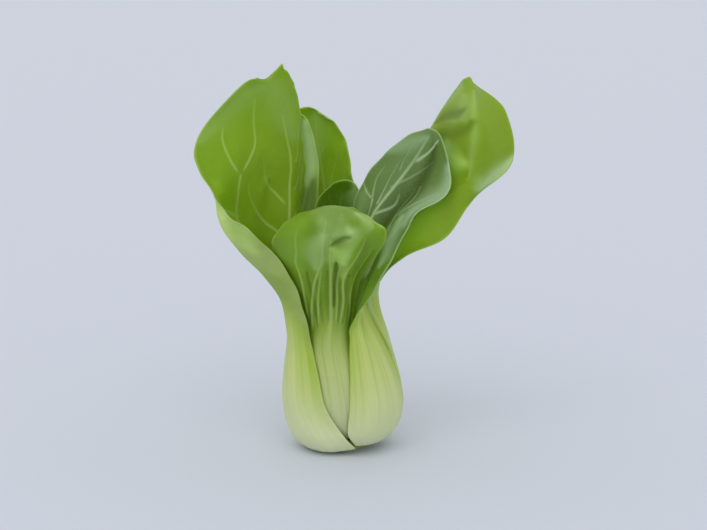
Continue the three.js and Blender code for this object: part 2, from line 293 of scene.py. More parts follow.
def marginDistance(points):
    # the shortest way along the surface to either margin or to the tip
    crossing = np.linalg.norm(np.diff(points, axis=1), axis=2).cumsum(axis=1)
    crossing = np.concatenate([np.zeros((len(points), 1)), crossing], axis=1)
    climbing = np.linalg.norm(np.diff(points, axis=0), axis=2)[::-1].cumsum(axis=0)[::-1]
    climbing = np.concatenate([climbing, np.zeros((1, points.shape[1]))])
    return np.minimum(np.minimum(crossing, crossing[:, -1:] - crossing), climbing)


def gridFaces(high, wide, offset, turned):
    # one square for each cell of a grid of points, turned the other way round on an inner face
    i, j = np.meshgrid(np.arange(high), np.arange(wide), indexing="ij")
    corner = (offset + i * (wide + 1) + j).ravel()
    square = np.stack([corner, corner + 1, corner + wide + 2, corner + wide + 1], axis=1)
    return square[:, ::-1] if turned else square


def newPiece(name, points, faces, marks, uv, material, nodes):
    # puts a shape, its marks and its map into a mesh, hangs it under the root body, and hides the CAD parts
    # it stands for
    mesh = bpy.data.meshes.new(name)
    mesh.vertices.add(len(points))
    mesh.vertices.foreach_set("co", (points * millimetre).ravel())
    mesh.loops.add(faces.size)
    mesh.loops.foreach_set("vertex_index", faces.ravel())
    mesh.polygons.add(len(faces))
    mesh.polygons.foreach_set("loop_start", np.arange(0, faces.size, faces.shape[1]))
    mesh.polygons.foreach_set("use_smooth", np.ones(len(faces), bool))
    mesh.update(calc_edges=True)
    for mark, values in marks.items():
        mesh.attributes.new(mark, "FLOAT", "POINT").data.foreach_set("value", values.astype(np.float32))
    mesh.uv_layers.new(name="leafMap").data.foreach_set("uv", uv[faces.ravel()].astype(np.float32).ravel())
    mesh.validate()
    piece = bpy.data.objects.new(name, mesh)
    bpy.context.scene.collection.objects.link(piece)
    piece.data.materials.append(material)
    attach(piece, "root")
    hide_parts(*nodes)


def buildLeaf(leaf):
    # the sheet is the outer face, waved towards its margins and swollen inwards between its veins; the
    # inner face lies the leaf's thickness further in; long ribs run down the petiole, and veins stand out
    high, wide = leaf["grid"]
    rows = leafRows(leaf)
    neck = leafNeck(leaf)
    along = np.interp(np.linspace(0, 1, high + 1), *rowSpacing(leaf))
    across = np.linspace(-1, 1, wide + 1)
    points = smoothSheet(rows, along, across)
    normals = sheetNormals(points)
    u, v = np.meshgrid(along, across, indexing="ij")
    under, over = leafBuild["neckBlend"]
    blade = smoothStep(neck - under, neck + over, u)
    wave = leaf["wave"]
    swing = np.sin(2 * np.pi * wave["count"] * u + wave["phase"] + v)
    smaller, lower = leafBuild["ripple"]
    ripple = np.sin(2 * np.pi * wave["count"] * smaller * u + 2 * wave["phase"])
    waved = wave["height"] * np.abs(v) ** 3 * swing + lower * wave["height"] * np.abs(v) ** 6 * ripple
    shift = blade * waved
    for fold in leaf.get("folds", []):
        away = np.minimum(1, np.abs(v - fold["across"]) / fold["width"])
        opened = 1 - smoothStep(fold["end"] - leafBuild["foldFade"], fold["end"], u)
        shape = (1 - away) ** 1.5 if fold.get("crisp") else (1 - away**2) ** 2
        shift += blade * fold["height"] * opened * shape
    # heights, painted light and shade, and waxy bloom with painted sheen, from the creases
    raised, tone, bloom = creaseMarks(leaf, points)
    line, ridge, distance = veinMarks(leaf, points)
    margin = marginDistance(points)
    shift += raised * np.clip(margin / leafBuild["creaseInset"], 0, 1)
    greenPlace = u + leafBuild["greenSag"] * np.abs(v) ** 1.5
    green = smoothStep(*leaf["greenFrom"], greenPlace)
    greenInside = smoothStep(*leaf["greenFrom"], greenPlace + leaf.get("innerGreen", 0))
    faint, full = (neck + above for above in leafBuild["rimFrom"])
    paleEdge = smoothStep(faint, full, u) * np.exp(-((margin / leafBuild["rimWidth"]) ** 2))
    shift -= green * leafBuild["puff"] * (1 - np.exp(-((distance / leafBuild["puffReach"]) ** 2)))
    ribs = sum(
        share * np.cos(number * np.pi * v + (k + 1) * wave["phase"])
        for k, (number, share) in enumerate(leafBuild["ribs"])
    )
    shift += (1 - blade) * leafBuild["ribHeight"] * ribs
    petioleReach, midribReach = leafBuild["thickReach"]
    crescent = np.maximum(0, 1 - (v / (petioleReach + (midribReach - petioleReach) * blade)) ** 2)
    middle = (leafBuild["petioleThickness"] - leafBuild["marginThickness"]) * (1 - blade)
    middle = (middle + leafBuild["midribThickness"] * (1 - u) * blade) * crescent
    thick = middle + leafBuild["marginThickness"] * (1 - blade) + leafBuild["bladeThickness"] * blade
    edge = np.minimum(1 - np.abs(v), (1 - u) * leafBuild["tipRounding"])
    flattened = 1 - np.clip(edge / leafBuild["roundedMargin"], 0, 1)
    rounded = np.sqrt(np.clip(1 - flattened ** 2, leafBuild["thinnest"], 1))
    inset = (1 - rounded) * thick / 2
    shift = shift[..., None]
    innerRidge = leafBuild["innerVein"] * leafBuild["veinRaise"] * green * ridge
    outer = points + normals * (shift + (leafBuild["veinRaise"] * green * ridge - inset)[..., None])
    inner = points + normals * (shift - (thick - inset + innerRidge)[..., None])
    count = outer.shape[0] * outer.shape[1]
    cell = np.arange(count).reshape(high + 1, wide + 1)

    def rim(a, b):  # a strip of squares between an edge of the outer face and the same edge of the inner one
        return np.stack([a[:-1], a[1:], b[1:], b[:-1]], axis=1)

    faces = np.concatenate([
        gridFaces(high, wide, 0, False),
        gridFaces(high, wide, count, True),
        rim(cell[0, ::-1], cell[0, ::-1] + count),
        rim(cell[-1], cell[-1] + count),
        rim(cell[:, 0], cell[:, 0] + count),
        rim(cell[::-1, -1], cell[::-1, -1] + count),
    ])
    both = [outer.reshape(-1, 3), inner.reshape(-1, 3)]
    marks = {
        "vein": np.tile(line.ravel(), 2),
        "green": np.concatenate([green.ravel(), greenInside.ravel()]),
        # painted light and shade, and waxy bloom with painted sheen, on both faces
        "tone": np.tile(tone.ravel(), 2),
        "bloom": np.tile(bloom.ravel(), 2),
        "rim": np.tile(paleEdge.ravel(), 2),
        "outside": np.repeat([1.0, 0.0], count),
    }
    uv = np.tile(np.stack([v.ravel() * 0.5 + 0.5, u.ravel()], axis=1), (2, 1))
    newPiece(leaf["piece"], np.concatenate(both), faces, marks, uv, leafMaterial(leaf), [leaf["node"]])
    print(leaf["piece"], "built,", 2 * len(faces), "triangles")


# Shader maths

class Wire:  # a value on its way through the nodes; sums written with it add Math nodes
    def __init__(self, paint, socket):
        self.paint, self.socket = paint, socket

    def __add__(self, other):
        return self.paint.maths("ADD", self, other)

    def __radd__(self, other):
        return self.paint.maths("ADD", other, self)

    def __sub__(self, other):
        return self.paint.maths("SUBTRACT", self, other)

    def __rsub__(self, other):
        return self.paint.maths("SUBTRACT", other, self)

    def __mul__(self, other):
        return self.paint.maths("MULTIPLY", self, other)

    def __rmul__(self, other):
        return self.paint.maths("MULTIPLY", other, self)


class Paint:  # a material and its nodes
    def __init__(self, name):
        self.material = bpy.data.materials.new(name)
        self.material.use_nodes = True
        self.tree = self.material.node_tree
        self.shader = self.tree.nodes["Principled BSDF"]

    def feed(self, socket, value):
        if isinstance(value, Wire):
            self.tree.links.new(value.socket, socket)
        elif isinstance(value, tuple) and len(value) == 3 and socket.type == "RGBA":
            socket.default_value = (*value, 1)
        else:
            socket.default_value = value

    def node(self, kind, settings=None, inputs=None, output=0):
        # one node: its settings first, then the values or links of its sockets
        made = self.tree.nodes.new(kind)
        for name, value in (settings or {}).items():
            if name == "stops":
                while len(made.color_ramp.elements) < len(value):
                    made.color_ramp.elements.new(0.5)
                for stop, (position, colour) in zip(made.color_ramp.elements, value):
                    stop.position, stop.color = position, (*colour, 1)
            else:
                setattr(made, name, value)
        for key, value in (inputs or {}).items():
            self.feed(made.inputs[key], value)
        return Wire(self, made.outputs[output])

    def maths(self, operation, first, second):
        return self.node("ShaderNodeMath", {"operation": operation}, {0: first, 1: second})

    def clamp(self, value, low, high):
        return self.node("ShaderNodeClamp", {}, {"Value": value, "Min": low, "Max": high})

    def mix(self, factor, first, second, blend="MIX"):
        return self.node("ShaderNodeMix", {"data_type": "RGBA", "blend_type": blend},
                         {0: factor, 6: first, 7: second}, 2)

    def mark(self, name):
        return self.node("ShaderNodeAttribute", {"attribute_name": name}, {}, "Fac")

    def noise(self, vector, scale=1.0, detail=3.0, roughness=0.5):
        return self.node("ShaderNodeTexNoise", {},
                         {"Vector": vector, "Scale": scale, "Detail": detail, "Roughness": roughness})

    def stretched(self, vector, scale):
        return self.node("ShaderNodeMapping", {}, {"Vector": vector, "Scale": scale})

    def finish(self, **sockets):
        for name, value in sockets.items():
            self.feed(self.shader.inputs[name.replace("_", " ")], value)
        return self.material


leafFinish = {
    "petioleStops": [
        (0.0, (0.66, 0.71, 0.46)),
        (0.24, (0.61, 0.67, 0.36)),
        (0.53, (0.53, 0.62, 0.22)),
        (0.85, (0.42, 0.53, 0.12)),
    ],
    "petioleTop": 0.085,  # height at which the petiole's last colour is reached
    "petioleMargin": (0.30, 0.44, 0.03),
    "veinColour": (0.38, 0.53, 0.12),
    # grey of waxy bloom with painted sheen
    "bloomAndSheenColour": (0.38, 0.52, 0.22),
    "petioleGreen": (28.0, 0.35),  # growth of its green for each metre of height, and what the foot lacks
    "petioleShade": (1.0, 0.96, 0.7),  # how strongly a petiole's tone works on red, green and blue
    "marginGreen": 0.95,
    "mostGreen": 0.85,
    "streakGreen": 1.4,
    "streakFrom": 0.95,  # sum of the two streak noises from which the petiole is greener
    "streaks": (22.0, 1.2, 1.0),  # across and along the leaf's own map
    "wideStreaks": (9.0, 0.9, 1.0),
    "slowSpots": 45.0,
    "deepSpots": (0.42, 2.0, 0.4),  # slow noise that they start from, how fast they deepen, the most
    "fineGrain": (420.0, 4.0, 0.6),  # scale, detail and roughness of its noise
    "net": (420.0, 0.9, 14.0, 0.06),  # the vein net's cells in a metre, how uneven, how thin, how pale
    "veinFrom": (0.22, 1.5),  # nearness to a vein that its colour starts from, and how fast it grows
    # the most waxy bloom with painted sheen, and how strongly painted light and painted shade work, and
    # their limits
    "mostBloomAndSheen": 0.9,
    "paintedShadingStrength": 0.7,
    "rimPale": 0.55,
    "paintedShadingRange": (0.35, 1.7),
    "roughness": (0.36, 0.04, 0.10),  # in all, less on the outer face, more with the slow noise
    "gloss": 0.18,
    "skinStrength": 0.25,
    "skinHeights": (0.4, 0.4, 0.6),  # shares of the grain, the petiole's streaks and the veins
    "grainDepth": 0.0004,
    "throughLight": 0.2,
    "throughColour": (0.5, 1.0, 0.25),
    "throughDepth": 0.003,
}


def leafMaterial(leaf):
    # petiole colour by height, greener in streaks and at its margins; blade colour by side and by a slow
    # noise, greyer by waxy bloom with painted sheen, lighter by painted light and darker by painted shade,
    # with paler veins, net and rim
    paint = Paint(leaf["piece"] + "Skin")
    place = paint.node("ShaderNodeTexCoord", output="Object")
    leafMap = paint.node("ShaderNodeUVMap", {"uv_map": "leafMap"})
    height = paint.node("ShaderNodeSeparateXYZ", {}, {0: place}, "Z")
    sideways = paint.node("ShaderNodeSeparateXYZ", {}, {0: leafMap}, "X")
    margin = paint.maths("ABSOLUTE", sideways * 2 - 1, 0.0)
    green, vein, outside = paint.mark("green"), paint.mark("vein"), paint.mark("outside")
    slow = paint.noise(place, leafFinish["slowSpots"])
    fine = paint.noise(place, *leafFinish["fineGrain"])
    streak = paint.noise(paint.stretched(leafMap, leafFinish["streaks"]))
    wideStreak = paint.noise(paint.stretched(leafMap, leafFinish["wideStreaks"]), detail=2.0)
    petiole = paint.node("ShaderNodeValToRGB", {"stops": leafFinish["petioleStops"]},
                         {0: height * (1 / leafFinish["petioleTop"])})
    streaks = (streak + wideStreak - leafFinish["streakFrom"]) * leafFinish["streakGreen"]
    edges = margin * margin * margin * leafFinish["marginGreen"]
    climb, ground = leafFinish["petioleGreen"]
    greener = paint.clamp(edges + streaks, 0.0, leafFinish["mostGreen"])
    greener = greener * paint.clamp(height * climb - ground, 0.0, 1.0)
    petiole = paint.mix(greener, petiole, leafFinish["petioleMargin"])
    darkened = 1 - leaf.get("petioleTone", 1.0)
    shade = tuple(1 - share * darkened for share in leafFinish["petioleShade"])
    petiole = paint.mix(1.0, petiole, shade, "MULTIPLY")
    blade = paint.mix(outside, leaf["innerColour"], leaf["outerColour"])
    deepFrom, deepGrowth, deepest = leafFinish["deepSpots"]
    deep = paint.clamp((slow - deepFrom) * deepGrowth, 0.0, deepest)
    blade = paint.mix(deep, blade, leaf["deepColour"])
    # waxy bloom with painted sheen greys the blade
    bloomAndSheenColour = leaf.get("bloomAndSheenColour", leafFinish["bloomAndSheenColour"])
    bloom = paint.clamp(paint.mark("bloom"), 0.0, leafFinish["mostBloomAndSheen"])
    blade = paint.mix(bloom, blade, bloomAndSheenColour)
    # painted light lightens and painted shade darkens the blade
    tone = paint.clamp(1 + paint.mark("tone") * leafFinish["paintedShadingStrength"], *leafFinish["paintedShadingRange"])
    blade = paint.mix(1.0, blade, tone, "MULTIPLY")
    netScale, netUneven, netThin, netPale = leafFinish["net"]
    cells = paint.node("ShaderNodeTexVoronoi", {"feature": "DISTANCE_TO_EDGE"},
                       {"Vector": place, "Scale": netScale, "Randomness": netUneven})
    network = paint.clamp(1 - cells * netThin, 0.0, 1.0) * netPale
    veinFrom, veinGrowth = leafFinish["veinFrom"]
    paler = paint.clamp((vein - veinFrom) * veinGrowth, 0.0, 1.0) * leaf["veinShow"] + network
    paler = paler + paint.mark("rim") * leafFinish["rimPale"]
    blade = paint.mix(paler, blade, leaf.get("veinColour", leafFinish["veinColour"]))
    grainShare, streakShare, veinShare = leafFinish["skinHeights"]
    relief = fine * grainShare + streak * (1 - green) * streakShare + vein * green * veinShare - network
    skin = paint.node("ShaderNodeBump", {}, {
        "Strength": leafFinish["skinStrength"],
        "Distance": leafFinish["grainDepth"],
        "Height": relief,
    })
    rough, smoother, rougher = leafFinish["roughness"]
    return paint.finish(
        Base_Color=paint.mix(green, petiole, blade),
        Roughness=rough - smoother * outside + rougher * slow,
        Normal=skin,
        Specular_IOR_Level=leafFinish["gloss"],
        Subsurface_Weight=leafFinish["throughLight"],
        Subsurface_Radius=leafFinish["throughColour"],
        Subsurface_Scale=leafFinish["throughDepth"],
    )


# The leaves

# A place on a leaf is (along, across): 0 at the foot to 1 at the tip, and -1 to 1 from one margin to the
# other. For each leaf, "sides" holds the angles round the head, in degrees, between which each row of its
# petiole lies, "tuck" how far its two margins turn in, and "lift" and "corners" how far its foot and the
# foot's two corners are raised. The rows of "blade" are points from margin to margin. "wave" is the swing
# of the margins, and a fold has its place across, height, width and end. A vein has its places, width and
# taper, and a crease its places, reach, height, painted light (above 0) or painted shade (below 0), and
# waxy bloom with painted sheen. The colours are those of the two faces and of the darker spots.

leftOuterLeaf = {
    "piece": "leftOuterLeaf", "node": "leaf_left_outer", "grid": (300, 150),
    "tier": "outer",
    "sides": [(122, 290), (122, 286), (125, 271), (128, 252), (135, 244), (146, 234)],
    "tuck": (3, 3.5), "lift": -1.5, "corners": (0, 2.3),
    "blade": [
        [[-26, 7, 72], [-29, 2, 73], [-30, -5, 75], [-27, -14, 77], [-20, -20, 77]],
        [[-21, 14, 88], [-25, 7, 90], [-29, -2, 92], [-39, -14, 93], [-29, -24, 97]],
        [[-21, 17, 106], [-24, 10, 107], [-29, 1, 110], [-51.5, -14, 106], [-46, -28, 119]],
        [[-21, 18, 120], [-24, 12, 121], [-28, 4, 122], [-60, -15, 121], [-59, -27, 129]],
        [[-21, 18, 134], [-23, 13, 134], [-28, 7, 135], [-57, -15, 137], [-68, -24, 141]],
        [[-21, 17, 148], [-23, 13, 148], [-27, 9, 148], [-53, -8, 152], [-74, -15, 155]],
        [[-21, 15, 164], [-23, 13, 162], [-29, 10, 160], [-50, 0, 167], [-69, -4, 169]],
        [[-23, 14, 180], [-26, 13, 180], [-32, 11, 180], [-41, 7, 184], [-49, 4, 190]],
        [[-28, 13, 190], [-29.5, 12, 195], [-31, 12, 198], [-35, 11, 193], [-39, 9, 187.5]],
    ],
    "folds": [
        {"across": 0.3, "height": 2.5, "width": 0.35, "end": 0.85},
    ],
    "wave": {"height": 1.2, "count": 5, "phase": 0.4},
    "veinShow": 0.75, "greenFrom": (0.4, 0.48), "midribWidth": 1.9, "midribEnd": 0.9,
    "veinSides": (-1,), "veinPairs": 6, "veinRise": 0.42, "veinWidth": 0.8,
    "veins": [
        ([(0.66, 0.02), (0.7, 0.12), (0.72, 0.18), (0.75, 0.23), (0.79, 0.27)], 0.9, 0.3),
        ([(0.56, 0.03), (0.6, 0.12), (0.625, 0.18), (0.655, 0.23), (0.71, 0.31), (0.74, 0.33)], 1.0, 0.3),
        ([(0.48, 0.08), (0.565, 0.3), (0.605, 0.33), (0.65, 0.36), (0.69, 0.38), (0.75, 0.42)], 1.25, 0.75),
        ([(0.75, 0.42), (0.79, 0.385), (0.835, 0.36), (0.88, 0.44), (0.91, 0.56)], 0.9, 0.4),
        ([(0.75, 0.42), (0.785, 0.585), (0.825, 0.7), (0.85, 0.74)], 0.9, 0.4),
        ([(0.65, 0.36), (0.665, 0.43), (0.68, 0.57), (0.7, 0.75), (0.71, 0.92)], 1.0, 0.4),
    ],
    # creases: heights, painted light and shade, and waxy bloom with painted sheen
    "creases": [
        ([(0.6, 0.42), (0.72, 0.52), (0.84, 0.6)], 9, 0, 0.08, 0),
        ([(0.52, 0.15), (0.62, 0.22), (0.74, 0.2)], 4, -0.6, -0.15, 0),
        ([(0.86, -0.2), (0.93, 0.1), (0.97, 0.5)], 9, 0, 0, 0.2),
        ([(0.82, 0.95), (0.89, 0.85), (0.94, 0.6)], 6, 0, 0, 0.2),
        ([(0.68, 0.95), (0.61, 0.85), (0.55, 0.8)], 11, 0, 0.5, 0.05),
        ([(0.58, 0.5), (0.65, 0.6), (0.72, 0.75)], 11, 0, 0.4, 0),
    ],
    "innerColour": (0.19, 0.325, 0.006),
    "outerColour": (0.345, 0.455, 0.13),
    "deepColour": (0.155, 0.285, 0.004),
}
buildLeaf(leftOuterLeaf)

rightFrontLeaf = {
    "piece": "rightFrontLeaf", "node": "leaf_right_front", "grid": (280, 140),
    "tier": "outer",
    "sides": [(-70.5, -4), (-73.5, -5), (-84.5, -6), (-83, -8), (-80, -14), (-76, -26)],
    "tuck": (3.5, 0), "lift": 2.9,
    "blade": [
        [[5, -25, 69], [9, -17, 72], [14, -9, 72]],
        [[12, -28, 82], [9, -12, 85], [9, -3, 84]],
        [[21, -28, 98], [11, -7, 99], [5, 2, 99]],
        [[31, -27, 115], [13, -4, 113], [4, 6, 116]],
        [[38, -25, 127], [18, -2, 125], [7, 9, 131]],
        [[52, -19, 136], [26, 0, 137], [14, 11, 143]],
        [[54, -12, 148], [34, 2, 149], [24, 11, 153]],
        [[51, -5, 161], [41, 2, 159], [34, 9, 162]],
        [[48, -1, 165], [46, 1, 166], [43, 4, 166]],
    ],
    "folds": [
        {"across": 0, "height": -1.5, "width": 0.3, "end": 1},
        {"across": -0.32, "height": 2, "width": 0.35, "end": 1},
    ],
    "wave": {"height": 0.9, "count": 4, "phase": 1.2},
    "veinShow": 0.7, "veinColour": (0.45, 0.6, 0.34), "greenFrom": (0.49, 0.56), "innerGreen": 0.11,
    # a bluer grey for its waxy bloom with painted sheen
    "bloomAndSheenColour": (0.34, 0.48, 0.29), "midribWidth": 1.9, "midribEnd": 0.96,
    "midribDrift": ([0.6, 0.7, 0.8, 0.87, 0.96], [0, -0.03, -0.08, -0.13, -0.13]), "veinSides": (),
    "veins": [
        ([(0.66, 0.06), (0.695, 0.15), (0.735, 0.3)], 0.9, 0.8),
        ([(0.735, 0.3), (0.742, 0.6), (0.75, 0.93)], 0.7, 0.6),
        ([(0.735, 0.3), (0.755, 0.42), (0.785, 0.55), (0.82, 0.6)], 0.7, 0.4),
        ([(0.72, 0.02), (0.745, 0.05), (0.79, 0.15), (0.82, 0.21), (0.86, 0.28)], 0.8, 0.3),
        ([(0.82, 0.0), (0.85, 0.12), (0.89, 0.26), (0.93, 0.42)], 0.5, 0.4),
        ([(0.69, 0.0), (0.725, -0.2), (0.745, -0.25), (0.77, -0.2)], 0.8, 0.4),
        ([(0.52, -0.1), (0.565, -0.28), (0.61, -0.42), (0.65, -0.47), (0.7, -0.51), (0.74, -0.55),
          (0.8, -0.5)], 1.1, 0.35),
        ([(0.6, -0.52), (0.64, -0.68), (0.68, -0.8), (0.71, -0.92)], 0.6, 0.4),
        ([(0.64, -0.58), (0.69, -0.5), (0.74, -0.42), (0.8, -0.4)], 0.6, 0.4),
        ([(0.7, -0.58), (0.75, -0.7), (0.79, -0.86)], 0.6, 0.4),
        ([(0.855, -0.13), (0.88, -0.25), (0.9, -0.42), (0.92, -0.62), (0.93, -0.8)], 1.3, 0.5),
        ([(0.77, 0.0), (0.8, -0.12), (0.84, -0.34), (0.87, -0.6)], 0.6, 0.4),
    ],
    # creases: heights, painted light and shade, and waxy bloom with painted sheen
    "creases": [
        ([(0.68, 0.1), (0.78, 0), (0.88, 0), (0.97, 0)], 24, 0, -0.05, 0.2),
        ([(0.66, -0.26), (0.71, -0.32), (0.76, -0.36), (0.8, -0.42), (0.86, -0.52), (0.91, -0.6)],
         6, 0.8, -0.6, -0.1),
        ([(0.86, -0.98), (0.8, -0.96), (0.76, -0.9), (0.73, -0.86), (0.68, -0.88)], 6.5, 0, 0.1, 0.6),
        ([(0.58, -0.75), (0.63, -0.75), (0.7, -0.72)], 6, 0, 0.4, 0.5),
        ([(0.4, -0.75), (0.48, -0.7), (0.56, -0.62), (0.64, -0.5)], 16, 0, 0.95, -0.1),
        ([(0.68, 0.55), (0.74, 0.7)], 4, -0.6, 0.2, 0.1),
        ([(0.86, 0.9), (0.91, 0.6), (0.95, 0)], 5, 0, 0.1, 0.3),
    ],
    "innerColour": (0.098, 0.178, 0.012),
    "outerColour": (0.26, 0.39, 0.04),
    "deepColour": (0.075, 0.145, 0.01),
}
buildLeaf(rightFrontLeaf)

rightBackLeaf = {
    "piece": "rightBackLeaf", "node": "leaf_right_back", "grid": (260, 130),
    "tier": "outer",
    "sides": [(1, 56), (0, 56), (-1, 56), (-2, 56), (-7, 55), (-18, 53)],
    "tuck": (1.5, 3), "lift": 1,
    "blade": [
        [[13, -4, 76], [17, 1, 76], [19, 8, 74], [18, 15, 73], [14, 20, 73]],
        [[18, -4, 88], [19, 4, 86], [19, 13, 85], [19, 21, 85], [17, 28, 84]],
        [[30, -9, 101], [26, 1, 104], [24, 14, 106], [26, 26, 102], [28, 36, 99]],
        [[52, -12, 112], [42, -3, 123], [30, 14, 131], [37, 30, 125], [43, 44, 119]],
        [[66, -10, 132], [64, -9, 140], [41, 14, 154], [51, 32, 146], [59, 46, 137]],
        [[86, -2, 150], [67, -11, 157], [50, 14, 171], [60, 30, 163], [69, 42, 156]],
        [[82, 6, 174], [66, -5, 172], [56, 13, 181], [62, 25, 174], [67, 34, 171]],
        [[72, 11, 183], [65, 4, 182], [60, 12, 187], [62, 18, 182], [65, 24, 179]],
        [[65, 12, 189], [63, 10, 189], [62, 12, 190], [62, 14, 188], [61, 16, 186]],
    ],
    "folds": [
        {"across": -0.5, "height": -4, "width": 0.45, "end": 1.15, "crisp": True},
    ],
    "wave": {"height": 0.8, "count": 4, "phase": 2.1},
    "veinShow": 0.3, "greenFrom": (0.44, 0.52), "midribWidth": 1.6, "midribEnd": 0.97,
    "veinPairs": 7, "veinRise": 0.3, "veinWidth": 0.6,
    # creases: heights, painted light and shade, and waxy bloom with painted sheen
    "creases": [
        ([(0.735, -0.03), (0.76, -0.16), (0.8, -0.34), (0.84, -0.48)], 4.2, 0.5, -0.5, -0.2),
        ([(0.77, -0.03), (0.81, -0.17), (0.86, -0.36)], 3.8, 0.3, -0.55, 0),
        ([(0.785, -0.13), (0.81, -0.25), (0.84, -0.38)], 1.4, -0.2, 0.1, 0.1),
        ([(0.82, -0.02), (0.88, -0.06), (0.95, -0.1)], 4, 0, 0, 0.3),
        ([(0.9, -0.3), (0.87, -0.35), (0.84, -0.4)], 4, 0, 0, 0.2),
        ([(0.7, -0.2), (0.8, -0.22), (0.92, -0.2)], 10, 0, 0.05, 0.15),
        ([(0.69, -0.08), (0.72, -0.22), (0.75, -0.42)], 9, -0.2, 0.85, 0.25),
        ([(0.93, -0.5), (0.85, -0.5), (0.78, -0.48), (0.72, -0.5)], 1.4, -0.4, 0.1, 0.2),
        ([(0.84, -0.58), (0.78, -0.57), (0.745, -0.62)], 3, 0, -0.1, 0),
        ([(0.725, -0.8), (0.745, -0.84), (0.765, -0.92), (0.79, -0.99)], 5, 0, 0.25, 1.1),
        ([(0.56, -0.65), (0.62, -0.55), (0.68, -0.35)], 12, 0, 0.8, 0.05),
        ([(0.6, -0.12), (0.67, -0.18), (0.75, -0.22)], 9, 0, 0.35, 0.25),
        ([(0.34, 0.55), (0.42, 0.7), (0.5, 0.9)], 8, 0, 0, 0.3),
    ],
    "innerColour": (0.215, 0.345, 0.013),
    "outerColour": (0.35, 0.48, 0.2),
    "deepColour": (0.19, 0.31, 0.01),
}
buildLeaf(rightBackLeaf)

